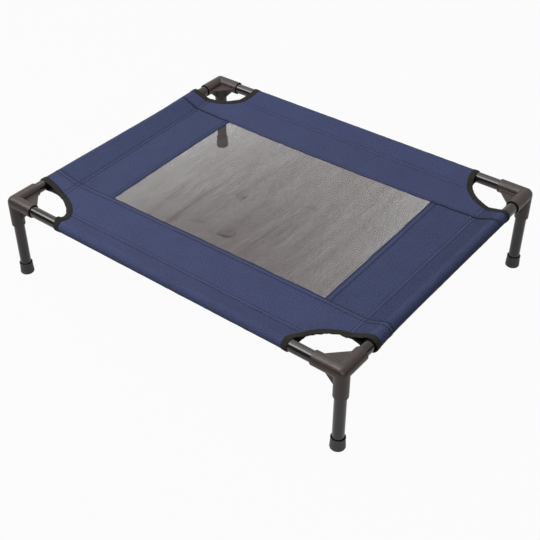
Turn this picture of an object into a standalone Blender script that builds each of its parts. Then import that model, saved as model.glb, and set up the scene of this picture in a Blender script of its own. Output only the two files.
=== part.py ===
"""Elevated cot for a dog or cat: a push-fit tube frame with a sewn fabric cover stretched on it.

Metres, +Z up. The origin is on the floor under the middle of the frame. X runs along the long rails and
Y along the short ones. Front is -Y and left is -X.
"""

import math

import bmesh
import bpy
from mathutils import Matrix

# Frame
LONG_SPAN = 0.734              # from corner axis to corner axis along X
SHORT_SPAN = 0.5945            # the same along Y
RAIL_HEIGHT = 0.1634           # of the rails' axes above the floor
TUBE_RADIUS = 0.01025          # outside, with its paint
TUBE_WALL = 0.001
FIT_GAP = 0.0003               # between pieces that touch

# Corner connectors
SOCKET_WALL = 0.00235
RAIL_SOCKET_LENGTH = 0.052     # from the corner axis to the rim
LEG_SOCKET_LENGTH = 0.0494
BORE_STOP = 0.003              # plastic between the end of a bore and the sockets it meets
SOCKET_CHAMFER = 0.0014
RAIL_WEB_REACH = 0.060         # where the edge of the web between the rail sockets would meet their axes
LEG_WEB_REACH = 0.048          # the same for the webs down to the leg socket
WEB_THICKNESS = 0.0028

# Foot caps
FOOT_HEIGHT = 0.024
FOOT_FLOOR = 0.004             # rubber under the end of the leg
FOOT_WALL = 0.00165            # at the mouth
FOOT_FLARE = 0.0011            # by which the foot is wider at its base
FOOT_EDGE_RADIUS = 0.0018
FOOT_LIP = 0.0008              # bevel round the mouth

# Cover
FABRIC = 0.0006                # thickness of the fabric, the mesh and the tape
LONG_SEAM = 0.039              # from a long rail's axis in to the seam that closes its sleeve
SHORT_SEAM = 0.043             # the same on a short rail
SEAM_ALLOWANCE = 0.008         # fabric past a sleeve's seam
LONG_PANEL_WIDTH = 0.1235      # from a long rail's axis to the edge of the mesh window
SHORT_PANEL_WIDTH = 0.1275     # the same from a short rail's axis
WINDOW_LAP = 0.010             # by which the mesh and the short panels' ends lie under their neighbours
TAPE_WIDTH = 0.011             # of the binding, on the face of the cover

# Openings in the cover at the corners: how far the cut edge lies from the corner axis along the long rail
# and along the short one. They differ because the cover sits a little askew on its frame.
CUTOUT_REACH = {
    "front_left": (0.116, 0.072),
    "front_right": (0.091, 0.070),
    "back_right": (0.100, 0.084),
    "back_left": (0.096, 0.080),
}
CUTOUT_ROUNDNESS = 2.1         # 2 is an ellipse, more is squarer

# Facets
ROUND_STEPS = 32
WRAP_STEPS = 12                # of the fabric round a rail
SLOPE_STEPS = 4                # of the fabric between a rail and its seam
ARC_STEPS = 5                  # of a corner's opening between two sleeves
EDGE_STEPS = 3                 # of the rounding under a foot
SHARP_ANGLE = math.radians(32)
WELD = 1e-6

SOCKET_BORE = TUBE_RADIUS + FIT_GAP
SOCKET_RADIUS = SOCKET_BORE + SOCKET_WALL
BORE_START = SOCKET_RADIUS + BORE_STOP
LAYER = FABRIC + FIT_GAP
SLEEVE_RADIUS = TUBE_RADIUS + FIT_GAP + FABRIC / 2

# Corner names, with the side of the frame they are on and the turn of their connector in degrees
CORNERS = {
    "front_left": (-1, -1, 0),
    "front_right": (1, -1, 90),
    "back_right": (1, 1, 180),
    "back_left": (-1, 1, 270),
}


def steps(start, end, count):
    """Evenly spaced values after start, up to and with end."""
    return [start + (end - start) * k / count for k in range(1, count + 1)]


def srgb(red, green, blue):
    """A colour given as 0 to 255 display values, as the shader's linear one."""
    def linear(value):
        value /= 255
        return value / 12.92 if value <= 0.04045 else ((value + 0.055) / 1.055) ** 2.4
    return (linear(red), linear(green), linear(blue), 1.0)


def material(name, colour, roughness, metallic=0.0):
    made = bpy.data.materials.new(name)
    made.use_nodes = True
    shader = made.node_tree.nodes["Principled BSDF"]
    shader.inputs["Base Color"].default_value = colour
    shader.inputs["Roughness"].default_value = roughness
    shader.inputs["Metallic"].default_value = metallic
    return made


def mesh_of(bm, name):
    """Closes the bmesh into a mesh with its faces outward and its round faces smooth."""
    bmesh.ops.remove_doubles(bm, verts=bm.verts, dist=WELD)
    bmesh.ops.recalc_face_normals(bm, faces=bm.faces)
    mesh = bpy.data.meshes.new(name)
    bm.to_mesh(mesh)
    bm.free()
    mesh.shade_smooth()
    mesh.set_sharp_from_angle(angle=SHARP_ANGLE)
    return mesh


def place(name, mesh, finish, matrix=Matrix()):
    """Puts a mesh into the scene as a named piece of the cot."""
    piece = bpy.data.objects.new(name, mesh)
    bpy.context.collection.objects.link(piece)
    if not mesh.materials:
        mesh.materials.append(finish)
    piece.parent = cot
    piece.matrix_local = matrix
    return piece


def turned(profile, name):
    """A body turned round Z from an outline of (radius, height) points, which may start and end on Z."""
    bm = bmesh.new()
    points = [bm.verts.new((radius, 0, height)) for radius, height in profile]
    pairs = list(zip(points, points[1:]))
    if profile[0][0] > 0:
        pairs.append((points[-1], points[0]))
    edges = [bm.edges.new(pair) for pair in pairs]
    bmesh.ops.spin(bm, geom=points + edges, axis=(0, 0, 1), cent=(0, 0, 0), angle=math.tau,
                   steps=ROUND_STEPS, use_merge=True)
    return mesh_of(bm, name)


def tube(length, name):
    inside = TUBE_RADIUS - TUBE_WALL
    return turned([(TUBE_RADIUS, 0), (TUBE_RADIUS, length), (inside, length), (inside, 0)], name)


# Corner connector, modelled with its corner axis at the origin, its rail sockets along +X and +Y and its
# leg socket down

def helper(mesh, matrix=Matrix()):
    made = bpy.data.objects.new(mesh.name, mesh)
    bpy.context.collection.objects.link(made)
    made.matrix_world = matrix
    made.hide_render = True
    made.display_type = "WIRE"
    return made


def ball():
    half = ROUND_STEPS // 2
    arc = [math.pi * (k / half - 0.5) for k in range(half + 1)]
    outline = [(SOCKET_RADIUS * math.cos(a), SOCKET_RADIUS * math.sin(a)) for a in arc]
    outline[0] = (0, -SOCKET_RADIUS)
    outline[-1] = (0, SOCKET_RADIUS)
    return turned(outline, "connector_ball")


def socket(length):
    rim = SOCKET_RADIUS - SOCKET_CHAMFER
    return turned([(0, 0), (SOCKET_RADIUS, 0), (SOCKET_RADIUS, length - SOCKET_CHAMFER), (rim, length),
                   (0, length)], "connector_socket")


def bore(length):
    beyond = length + SOCKET_RADIUS
    return turned([(0, BORE_START), (SOCKET_BORE, BORE_START), (SOCKET_BORE, beyond), (0, beyond)],
                  "connector_bore")


def web(reach):
    """A triangular plate in the XY plane, whose free edge ends inside the walls of the two sockets."""
    inset = SOCKET_BORE + SOCKET_WALL / 2
    bm = bmesh.new()
    corners = [(0, 0), (reach - inset, inset), (inset, reach - inset)]
    plate = bm.faces.new([bm.verts.new((x, y, -WEB_THICKNESS / 2)) for x, y in corners])
    grown = bmesh.ops.extrude_face_region(bm, geom=[plate])
    top = [item for item in grown["geom"] if isinstance(item, bmesh.types.BMVert)]
    bmesh.ops.translate(bm, verts=top, vec=(0, 0, WEB_THICKNESS))
    return mesh_of(bm, "connector_web")


def connector_mesh():
    to_x = Matrix.Rotation(math.pi / 2, 4, "Y")
    to_y = Matrix.Rotation(-math.pi / 2, 4, "X")
    down = Matrix.Rotation(math.pi, 4, "X")
    rail_socket = socket(RAIL_SOCKET_LENGTH)
    leg_web = web(LEG_WEB_REACH)
    added = [
        helper(rail_socket, to_x),
        helper(rail_socket, to_y),
        helper(socket(LEG_SOCKET_LENGTH), down),
        helper(web(RAIL_WEB_REACH)),
        helper(leg_web, Matrix.Rotation(-math.pi / 2, 4, "X")),
        helper(leg_web, Matrix.Rotation(math.pi / 2, 4, "Y")),
    ]
    rail_bore = bore(RAIL_SOCKET_LENGTH)
    cut = [helper(rail_bore, to_x), helper(rail_bore, to_y), helper(bore(LEG_SOCKET_LENGTH), down)]
    body = helper(ball())
    for operation, tools in (("UNION", added), ("DIFFERENCE", cut)):
        for tool in tools:
            step = body.modifiers.new(tool.name, "BOOLEAN")
            step.operation = operation
            step.solver = "EXACT"
            step.object = tool
    bpy.context.view_layer.update()
    solid = body.evaluated_get(bpy.context.evaluated_depsgraph_get())
    bm = bmesh.new()
    bm.from_mesh(solid.to_mesh())
    solid.to_mesh_clear()
    for item in [body] + added + cut:
        bpy.data.objects.remove(item)
    return mesh_of(bm, "corner_connector")


def foot_mesh():
    mouth = SOCKET_BORE + FOOT_WALL
    base = mouth + FOOT_FLARE
    sole = base - FOOT_EDGE_RADIUS
    edge = [(sole + FOOT_EDGE_RADIUS * math.sin(a), FOOT_EDGE_RADIUS * (1 - math.cos(a)))
            for a in [0] + steps(0, math.pi / 2, EDGE_STEPS)]
    outside = [(0, 0)] + edge + [(mouth, FOOT_HEIGHT - FOOT_LIP), (mouth - FOOT_LIP, FOOT_HEIGHT)]
    inside = [(SOCKET_BORE, FOOT_HEIGHT), (SOCKET_BORE, FOOT_FLOOR), (0, FOOT_FLOOR)]
    return turned(outside + inside, "foot_cap")


class Sleeve:
    """Cross-section of the cover at a rail. The fabric slopes up from its seam, turns round the rail's
    outer side and comes back below to an allowance under the seam.

    Distances run inward from the rail's axis and heights up from it. An offset lies outward of the
    middle of the fabric, as a tape does that is sewn on it.
    """

    def __init__(self, seam, level):
        self.seam = seam
        self.level = level
        self.under_level = level - LAYER
        self.hem = seam + SEAM_ALLOWANCE
        self.tilt = self.slope_angle(level)
        self.under_tilt = self.slope_angle(-self.under_level)

    def slope_angle(self, level):
        """Tilt of a line from the seam that touches the sleeve's round part."""
        span = math.hypot(self.seam, level)
        return math.asin(SLEEVE_RADIUS / span) - math.atan2(level, self.seam)

    def over(self, distance, offset=0.0):
        rise = (self.seam - distance) * math.tan(self.tilt) + offset / math.cos(self.tilt)
        return self.level + max(offset, rise)

    def under(self, distance, offset=0.0):
        drop = (self.seam - distance) * math.tan(self.under_tilt) + offset / math.cos(self.under_tilt)
        return self.under_level - max(offset, drop)

    def touch(self):
        """Where the upper layer leaves the round part."""
        return SLEEVE_RADIUS * math.sin(self.tilt)

    def under_touch(self):
        return SLEEVE_RADIUS * math.sin(self.under_tilt)

    def wrap_angles(self):
        """From the lower layer round the outer side to the upper one."""
        start = math.pi / 2 - self.under_tilt
        end = 3 * math.pi / 2 + self.tilt
        return [start] + steps(start, end, WRAP_STEPS)

    def wrap(self, angle, offset=0.0):
        radius = SLEEVE_RADIUS + offset
        return radius * math.cos(angle), -radius * math.sin(angle)

    def under_distances(self):
        return [self.hem, self.seam] + steps(self.seam, self.under_touch(), SLOPE_STEPS)[:-1]

    def over_distances(self):
        return steps(self.touch(), self.seam, SLOPE_STEPS)

    def line(self):
        """Points from the allowance's edge round the rail to the seam."""
        below = [(d, self.under(d)) for d in self.under_distances()]
        around = [self.wrap(angle) for angle in self.wrap_angles()]
        above = [(d, self.over(d)) for d in self.over_distances()]
        return below + around + above


class Corner:
    """A corner of the frame, with the opening in the cover there. Its own coordinates are the distances
    inward along the long and the short rail from the corner axis, and the height above the rails' axes.
    """

    def __init__(self, name):
        self.side_x, self.side_y, self.turn = CORNERS[name]
        self.long_reach, self.short_reach = CUTOUT_REACH[name]

    def point(self, along_long, along_short, height):
        return (self.side_x * (LONG_SPAN / 2 - along_long), self.side_y * (SHORT_SPAN / 2 - along_short),
                RAIL_HEIGHT + height)

    def long_at(self, along_short):
        """How far along the long rail the cut edge is, at a distance from that rail."""
        share = max(along_short, 0) / self.short_reach
        return self.long_reach * max(1 - share ** CUTOUT_ROUNDNESS, 0) ** (1 / CUTOUT_ROUNDNESS)

    def short_at(self, along_long):
        share = max(along_long, 0) / self.long_reach
        return self.short_reach * max(1 - share ** CUTOUT_ROUNDNESS, 0) ** (1 / CUTOUT_ROUNDNESS)

    def inward(self, along_long, along_short):
        """Direction from the cut edge square into the fabric."""
        power = CUTOUT_ROUNDNESS - 1
        slope_long = (along_long / self.long_reach) ** power / self.long_reach
        slope_short = (along_short / self.short_reach) ** power / self.short_reach
        length = math.hypot(slope_long, slope_short)
        return slope_long / length, slope_short / length


def add_grid(bm, rows):
    """Faces over equally long rows of points."""
    placed = [[bm.verts.new(point) for point in row] for row in rows]
    for row, following in zip(placed, placed[1:]):
        for k in range(len(row) - 1):
            bm.faces.new((row[k], row[k + 1], following[k + 1], following[k]))


def fabric_piece(bm, name, finish):
    """A sheet with the fabric's thickness round the given middle surface."""
    piece = place(name, mesh_of(bm, name), finish)
    thick = piece.modifiers.new("fabric", "SOLIDIFY")
    thick.thickness = FABRIC
    thick.offset = 0.0
    thick.use_even_offset = True
    return piece


def split_distance(corners):
    """Line, parallel to a long rail, where the rows along that rail end and those of the tabs begin."""
    return (LONG_SEAM + min(corner.short_reach for corner in corners)) / 2


def long_panel(name, side, finish):
    """Border panel with its sleeve round a long rail and, at its ends, tabs round the short rails."""
    ends = [Corner(side + "_left"), Corner(side + "_right")]
    split = split_distance(ends)
    sleeve = Sleeve(LONG_SEAM, 0.0)
    tab = Sleeve(SHORT_SEAM, 0.0)
    bm = bmesh.new()
    rows = sleeve.line() + [(d, 0.0) for d in steps(LONG_SEAM, split, ARC_STEPS)]
    add_grid(bm, [[end.point(end.long_at(d), d, height) for end in ends] for d, height in rows])
    add_grid(bm, [[end.point(end.long_at(split), d, 0.0) for end in ends]
                  for d in (split, LONG_PANEL_WIDTH)])
    for end in ends:
        flat = [(d, 0.0) for d in steps(SHORT_SEAM, end.long_at(split), ARC_STEPS)]
        rows = tab.line() + flat
        add_grid(bm, [[end.point(d, end.short_at(d), height), end.point(d, LONG_PANEL_WIDTH, height)]
                      for d, height in rows])
    return fabric_piece(bm, name, finish)


def short_panel(name, side, finish):
    """Border panel between the tabs of the long ones, a layer lower, with its ends tucked under them."""
    ends = [Corner("front_" + side), Corner("back_" + side)]
    sleeve = Sleeve(SHORT_SEAM, -LAYER)
    edge = LONG_PANEL_WIDTH + FIT_GAP
    tucked = LONG_PANEL_WIDTH - WINDOW_LAP
    tuck_start = sleeve.hem + FIT_GAP
    flat = [(tuck_start, -LAYER), (SHORT_PANEL_WIDTH, -LAYER)]
    bm = bmesh.new()
    add_grid(bm, [[end.point(d, edge, height) for end in ends] for d, height in sleeve.line() + flat])
    for end in ends:
        add_grid(bm, [[end.point(d, edge, height), end.point(d, tucked, height)] for d, height in flat])
    return fabric_piece(bm, name, finish)


def mesh_panel(name, finish):
    """Flat window of mesh, lapped under the four border panels."""
    bm = bmesh.new()
    along_long = SHORT_PANEL_WIDTH - WINDOW_LAP
    along_short = LONG_PANEL_WIDTH - WINDOW_LAP
    level = -2 * LAYER
    add_grid(bm, [[Corner(side + "_left").point(along_long, along_short, level),
                   Corner(side + "_right").point(along_long, along_short, level)]
                  for side in ("front", "back")])
    return fabric_piece(bm, name, finish)


def corner_binding(name, corner_name, finish):
    """Tape folded over the cut edge of a corner's opening: under the long rail's sleeve, round that
    rail, over the cover, round the short rail and under its sleeve."""
    corner = Corner(corner_name)
    side = corner_name.split("_")[0]
    split = split_distance([Corner(side + "_left"), Corner(side + "_right")])
    long_sleeve = Sleeve(LONG_SEAM, 0.0)
    tab = Sleeve(SHORT_SEAM, 0.0)
    fold = -(FIT_GAP + FABRIC / 2)
    # Across the tape: how far in from the cut edge, and how far off the middle of the fabric
    section = ((TAPE_WIDTH, LAYER), (fold, LAYER), (fold, -FABRIC / 2))

    def flat_row(along_long, along_short, height):
        direction = corner.inward(along_long, along_short)
        return [(along_long + direction[0] * inset, along_short + direction[1] * inset, offset, height)
                for inset, offset in section]

    def over(x, y, offset):
        return corner.point(x, y, max(long_sleeve.over(y, offset), tab.over(x, offset)))

    def under_long(x, y, offset):
        y = min(y, long_sleeve.hem)
        return corner.point(x, y, long_sleeve.under(y, offset))

    def under_short(x, y, offset):
        x = min(x, tab.hem)
        return corner.point(x, y, tab.under(x, offset))

    rows = [flat_row(corner.long_at(d), d, under_long) for d in long_sleeve.under_distances()]
    along = [[corner.point(corner.long_reach + inset, *long_sleeve.wrap(angle, offset))
              for inset, offset in section] for angle in long_sleeve.wrap_angles()]
    across = [flat_row(corner.long_at(d), d, over)
              for d in long_sleeve.over_distances() + steps(LONG_SEAM, split, ARC_STEPS)]
    turning = steps(corner.long_at(split), tab.seam, ARC_STEPS)
    across += [flat_row(d, corner.short_at(d), over) for d in turning]
    across += [flat_row(d, corner.short_at(d), over) for d in tab.over_distances()[-2::-1]]
    down = []
    for angle in reversed(tab.wrap_angles()):
        wrapped = [tab.wrap(angle, offset) for inset, offset in section]
        down.append([corner.point(x, corner.short_reach + inset, height)
                     for (x, height), (inset, offset) in zip(wrapped, section)])
    last = [flat_row(d, corner.short_at(d), under_short) for d in reversed(tab.under_distances())]

    def lifted(row):
        return [height(x, y, offset) for x, y, offset, height in row]

    bm = bmesh.new()
    add_grid(bm, [lifted(row) for row in rows] + along + [lifted(row) for row in across] + down
             + [lifted(row) for row in last])
    return fabric_piece(bm, name, finish)


for old in list(bpy.data.objects):
    bpy.data.objects.remove(old)

cot = bpy.data.objects.new("cot", None)
bpy.context.collection.objects.link(cot)

steel = material("powder_coated_steel", srgb(58, 52, 50), 0.32, 0.35)
plastic = material("connector_plastic", srgb(62, 58, 55), 0.42)
rubber = material("foot_rubber", srgb(56, 55, 54), 0.75)
fabric = material("blue_oxford_fabric", srgb(69, 75, 107), 0.85)
net = material("grey_mesh_fabric", srgb(92, 87, 86), 0.8)
tape = material("binding_tape", srgb(47, 46, 40), 0.9)

rail_end = BORE_START + FIT_GAP
long_rail = tube(LONG_SPAN - 2 * rail_end, "long_rail")
short_rail = tube(SHORT_SPAN - 2 * rail_end, "short_rail")
for side, sign in (("front", -1), ("back", 1)):
    start = Matrix.Translation((rail_end - LONG_SPAN / 2, sign * SHORT_SPAN / 2, RAIL_HEIGHT))
    place("long_rail_" + side, long_rail, steel, start @ Matrix.Rotation(math.pi / 2, 4, "Y"))
for side, sign in (("left", -1), ("right", 1)):
    start = Matrix.Translation((sign * LONG_SPAN / 2, rail_end - SHORT_SPAN / 2, RAIL_HEIGHT))
    place("short_rail_" + side, short_rail, steel, start @ Matrix.Rotation(-math.pi / 2, 4, "X"))

leg_foot = FOOT_FLOOR + FIT_GAP
leg = tube(RAIL_HEIGHT - rail_end - leg_foot, "leg")
connector = connector_mesh()
foot = foot_mesh()
for corner_name, (side_x, side_y, turn) in CORNERS.items():
    axis = (side_x * LONG_SPAN / 2, side_y * SHORT_SPAN / 2, 0)
    turned_to = Matrix.Rotation(math.radians(turn), 4, "Z")
    head = Matrix.Translation((axis[0], axis[1], RAIL_HEIGHT))
    place("corner_connector_" + corner_name, connector, plastic, head @ turned_to)
    place("leg_" + corner_name, leg, steel, Matrix.Translation((axis[0], axis[1], leg_foot)))
    place("foot_cap_" + corner_name, foot, rubber, Matrix.Translation(axis))
    corner_binding("corner_binding_" + corner_name, corner_name, tape)

for side in ("front", "back"):
    long_panel("long_panel_" + side, side, fabric)
for side in ("left", "right"):
    short_panel("short_panel_" + side, side, fabric)
mesh_panel("mesh_panel", net)
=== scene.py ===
"""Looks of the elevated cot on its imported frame: sewn cover, mouldings, finishes, light and camera.

Metres, in the row frame. Front is -Y and left is -X. The cover is worked out from its seams: each is a
distance inward from a rail's axis, and panels, stitches and bindings are placed from them.
"""

import math

import bmesh
import bpy
import numpy as np
from mathutils import Matrix, Vector, noise


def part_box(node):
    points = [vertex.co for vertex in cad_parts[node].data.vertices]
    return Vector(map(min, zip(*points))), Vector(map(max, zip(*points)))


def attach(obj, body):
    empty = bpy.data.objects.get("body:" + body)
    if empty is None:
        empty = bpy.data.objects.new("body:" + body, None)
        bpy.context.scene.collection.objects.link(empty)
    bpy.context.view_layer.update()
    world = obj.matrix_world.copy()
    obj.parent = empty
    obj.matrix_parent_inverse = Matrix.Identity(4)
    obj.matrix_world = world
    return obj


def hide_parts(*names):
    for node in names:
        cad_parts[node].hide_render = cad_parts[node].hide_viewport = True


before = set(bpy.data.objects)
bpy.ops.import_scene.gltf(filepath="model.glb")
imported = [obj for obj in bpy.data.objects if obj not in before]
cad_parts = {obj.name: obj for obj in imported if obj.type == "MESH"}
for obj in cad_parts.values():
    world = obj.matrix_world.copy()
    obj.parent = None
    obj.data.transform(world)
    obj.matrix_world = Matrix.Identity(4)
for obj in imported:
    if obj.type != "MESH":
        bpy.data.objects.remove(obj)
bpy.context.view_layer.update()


def centre(node):
    low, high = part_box(node)
    return (low + high) / 2


# The frame, as model.glb holds it
HALF_LONG = centre("leg_back_right").x
HALF_SHORT = centre("leg_back_right").y
RAIL_HEIGHT = centre("long_rail_back").z
TUBE_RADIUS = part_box("long_rail_back")[1].z - RAIL_HEIGHT
CONNECTOR_LOW, CONNECTOR_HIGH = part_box("corner_connector_front_left")
SOCKET_RADIUS = CONNECTOR_HIGH.z - RAIL_HEIGHT
RAIL_SOCKET_LENGTH = CONNECTOR_HIGH.x + HALF_LONG
LEG_SOCKET_LENGTH = RAIL_HEIGHT - CONNECTOR_LOW.z
FOOT_LOW, FOOT_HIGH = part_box("foot_cap_front_left")
FOOT_HEIGHT = FOOT_HIGH.z
FOOT_RADIUS = (FOOT_HIGH.x - FOOT_LOW.x) / 2

TUBE_WALL = 0.001

# Mouldings
FIT_GAP = 0.0003               # between pieces that touch
SOCKET_BORE = TUBE_RADIUS + FIT_GAP
SOCKET_LEAD = 0.0014           # widening of a bore at its mouth
SOCKET_LEAD_DEPTH = 0.0045
SOCKET_CHAMFER = 0.0004
BORE_START = SOCKET_RADIUS + 0.003
RAIL_WEB_REACH = 0.060         # where the edge of the web between the rail sockets would meet their axes
LEG_WEB_REACH = 0.048
WEB_THICKNESS = 0.0028
MOULDING_CELL = 0.00045        # of the remesh that rounds a moulding's edges
MOULDING_SMOOTHING = (0.5, 6)  # factor and passes
FOOT_LEAD = 0.0009
FOOT_LIP = 0.0009
SOLE_RECESS = 0.0006
FOOT_LEAD_DEPTH = 0.003
FOOT_WALL = 0.00165
FOOT_FLOOR = 0.004
FOOT_EDGE_RADIUS = 0.0026
ROUND_STEPS = 64

# Cover
RAIL_TOP = 1.5 * math.pi       # angle of a rail's top, from its inner side round its underside
FABRIC = 0.0006                # thickness of fabric and tape
LAYER = FABRIC + FIT_GAP       # from the middle of a fabric to that of the one under it
SLEEVE_RADIUS = TUBE_RADIUS + FIT_GAP + FABRIC / 2
SEAM_ALLOWANCE = 0.008         # fabric past a sleeve's seam, below
HANG = 0.0005                  # by which its free edge hangs lower
WINDOW_LAP = 0.010             # by which mesh and short borders lie under their neighbours
ROW_GAP = 0.0055               # between the two rows of stitches that close a sleeve
SAG = 0.0015                   # of the cover in its middle

# Middle of each sleeve's double seam, and inner edge of each border: distance from the rail's axis at the
# front or left end of the rail and at its other end, and how much more it is in the middle
SLEEVE_SEAMS = {
    "front": (0.0358, 0.0352, 0.0),
    "back": (0.0455, 0.0440, 0.0),
    "left": (0.0571, 0.0348, 0.0),
    "right": (0.0376, 0.0382, 0.0),
}
INNER_EDGES = {
    "front": (0.1187, 0.1250, 0.0032),
    "back": (0.1231, 0.1218, 0.0060),
    "left": (0.1420, 0.1283, -0.0034),
    "right": (0.1194, 0.1301, -0.0016),
}
# Unevenness of the sewn inner edges, over EDGE_RUN
EDGE_WAVES = {"front": 0.0003, "back": 0.0011, "left": 0.0005, "right": 0.0004}
EDGE_RUN = 0.011
HEM_LEAD = 0.003               # from a border's last even place to its first row of stitches
# Rows of stitches along each border's inner edge: distances from it
HEM_ROWS = {
    "front": (0.0102, 0.0032),
    "back": (0.0055,),
    "left": (0.0087, 0.0037),
    "right": (0.0118, 0.0033),
}

# Opening at each corner: reach of the cut edge along the long and the short rail, roundness (2 is an
# ellipse), and width of the tape that binds it
CUTOUTS = {
    "front_left": (0.118, 0.073, 1.93, 0.0108),
    "front_right": (0.0965, 0.0755, 2.15, 0.0098),
    "back_right": (0.100, 0.084, 1.98, 0.0100),
    "back_left": (0.096, 0.078, 2.35, 0.0118),
}

# Unevenness of each tape's folded edge
TAPE_WAVES = {"front_left": 0.0005, "front_right": 0.0021, "back_right": 0.0007, "back_left": 0.0014}
TAPE_WAVE_RUN = 0.011
FINE_TAPE_WAVE = (0.0035, 0.7) # run and strength of its finer part
TAPE_CURLS = {"front_left": 0.0050}        # how far a tape stands off on top of the long rail
CURL_WIDTH = 0.008             # from the rail's axis inward
CURL_ANGLE = 0.5               # round the rail
TAPE_FADE = 0.6                # share of a tape's width over which the relief under it dies out

# Where a sleeve is loose on its rail: place along it, half width, and how far it stands off
LOOSE = {"right": (-0.245, 0.080, 0.0026), "left": (0.215, 0.075, 0.0028)}

# Relief of the sewn fabric
GROOVE_DEPTH = 0.0004
GROOVE_WIDTH = 0.0013
# Painted shade in the grooves of the rows of stitches, of a sleeve's seam and of a hem, and painted shadow
# along the fold of a hem's edge
SEAM_PAINTED_SHADES = {"front": 0.65, "back": 0.45, "left": 0.62, "right": 0.42}
HEM_PAINTED_SHADES = {"front": 0.80, "back": 0.50, "left": 0.70, "right": 0.80}
EDGE_PAINTED_SHADOWS = {"front": 0.60, "back": 1.0, "left": 0.45, "right": 0.35}
PUFF = 0.0006                  # of the fabric between the two rows of a sleeve's seam
HEM_PUFF = 0.0004              # and between the rows of a hem
RIDGE_WEAR_AND_HIGHLIGHT = 0.25              # by which it is drawn lighter: partly rubbed wear, partly a painted highlight on the raised fabric
EDGE_DROPS = {"front": 0.0006, "back": 0.0003, "left": 0.0003, "right": 0.0006}    # of the folded edges
# Width of a folded edge's rounding, over which its painted shadow also lies
EDGE_ROUND = 0.0020
LAP_ROUNDS = {"back": 0.0044}  # the same where a long border lies over a short one, if it is another; it widens the painted shadow there
# Painted shade on each sleeve's slope, painted light where negative, which sets in over SLEEVE_SHADE_START
SLEEVE_SHADES = {"front": -0.02, "back": 0.0, "left": -0.03, "right": 0.27}
SLEEVE_SHADE_START = 0.006
# Creases of the mesh: from x, y to x, y, half width, height, and darkening, which is painted shade in the
# crease
MESH_CREASES = [
    (-0.0997, -0.1707, -0.1053, -0.0884, 0.0075, -0.0012, 0.28),
    (-0.0997, -0.1707, -0.1030, -0.1100, 0.0025, -0.0004, 0.40),
    (-0.1053, -0.0884, -0.1052, -0.0399, 0.0060, -0.0006, 0.22),
    (-0.1404, -0.1884, -0.1558, -0.0594, 0.0060, -0.0008, 0.18),
    (-0.0720, -0.1375, -0.0561, -0.1311, 0.0040, -0.0004, 0.40),
    (-0.0561, -0.1311, -0.0421, -0.1282, 0.0035, -0.0004, 0.30),
    (-0.0065, -0.1403, 0.0130, -0.1370, 0.0032, -0.0004, 0.75),
    (0.0130, -0.1370, 0.0188, -0.1225, 0.0030, -0.0003, 0.55),
    (-0.0020, -0.1270, 0.0060, -0.1230, 0.0090, -0.0006, 0.25),
    (-0.0555, -0.0207, -0.0404, -0.0259, 0.0090, -0.0005, 0.35),
    (-0.0404, -0.0259, -0.0414, -0.0204, 0.0020, -0.0002, 0.80),
    (0.0664, 0.0218, 0.0888, 0.0256, 0.0026, -0.0003, 0.60),
    (-0.0950, 0.1290, -0.0900, 0.1330, 0.0050, -0.0004, 0.40),
]
RIPPLE = 0.0008                # of the taut fabric, over RIPPLE_LENGTH
RIPPLE_LENGTH = 0.060
FINE_RIPPLE = (3.1, 0.3)       # how much shorter its finer part is, and how strong
RIPPLE_START = 0.030           # distance over which it grows inward from a rail
WRINKLE = 0.0003               # of the sleeves, round the rails
WRINKLE_LENGTH = 0.014
MESH_FOLD = (0.022, 0.16, 0.0004)          # width, length and height of the mesh's folds
SAG_START = 0.045              # from a rail's axis to where the cover begins to sag

# Stitches
STITCH_PITCH = 0.0054
STITCH_LENGTH = 0.0032
STITCH_WIDTH = 0.00065
STITCH_HEIGHT = 0.0004
STITCH_RISE = 0.3              # of its middle above the fabric, in its heights
STITCH_SIDES = 6
NEEDLE_SHADE_SIZE = (0.0027, 0.0021)    # length and width of a dark disc of painted shade in the dent between two stitches
NEEDLE_SHADE_SPREAD = 1.0       # share by which the dark discs differ in size, over MARK_RUN
MARK_RUN = 0.030

# Columns and rows of the fabric's grids
LONG_COLUMNS = 220
SHORT_COLUMNS = 140
FLAT_STEPS = 26
WRAP_STEPS = 22
SLOPE_STEPS = 8
ARC_STEPS = 48
HEM_STEPS = 4                  # of a sleeve's allowance
SPLIT_STEPS = 4                # from a long sleeve's seam to the tabs
TAB_STEPS = 6
TUCK_STEPS = 4                 # of a short border's end under a long one
TAPE_STEPS = 16
WINDOW_COLUMNS = 240
WINDOW_ROWS = 180


def lerp(start, end, share):
    return start + (end - start) * share


def bowed(start, end, bow, share):
    return lerp(start, end, share) + bow * 4 * share * (1 - share)


def steps(start, end, count):
    """Evenly spaced values after start, up to and with end."""
    return [lerp(start, end, k / count) for k in range(1, count + 1)]


def about_row(row):
    """Places across a row of stitches that show its groove."""
    return [row + GROOVE_WIDTH * k for k in (-0.9, -0.3, 0.0, 0.3, 0.9)]


HALF_GAP = ROW_GAP / 2
SEAM_TICKS = about_row(-HALF_GAP) + [-HALF_GAP / 2, 0.0, HALF_GAP / 2] + about_row(HALF_GAP) + [ROW_GAP]
SEAM_ROWS = (SEAM_TICKS.index(-HALF_GAP), SEAM_TICKS.index(HALF_GAP))


def edge_ticks(rows):
    """Distances back from a folded edge, with the given rows of stitches, down to 0 at the edge."""
    ticks = [rows[0] + HEM_LEAD]
    for row, following in zip(rows, rows[1:] + (0.0,)):
        ticks += about_row(row)[::-1]
        if following:
            ticks.append((row + following) / 2)
    return ticks + [EDGE_ROUND, EDGE_ROUND / 2, EDGE_ROUND / 5, 0.0]


def toward_edge(start, edge, rows, index):
    """Place number index on the way from start to a folded edge: even steps, then the edge's ticks."""
    ticks = edge_ticks(rows)
    if index <= FLAT_STEPS:
        return lerp(start, edge - ticks[0], index / FLAT_STEPS)
    return edge - ticks[index - FLAT_STEPS]


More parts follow.
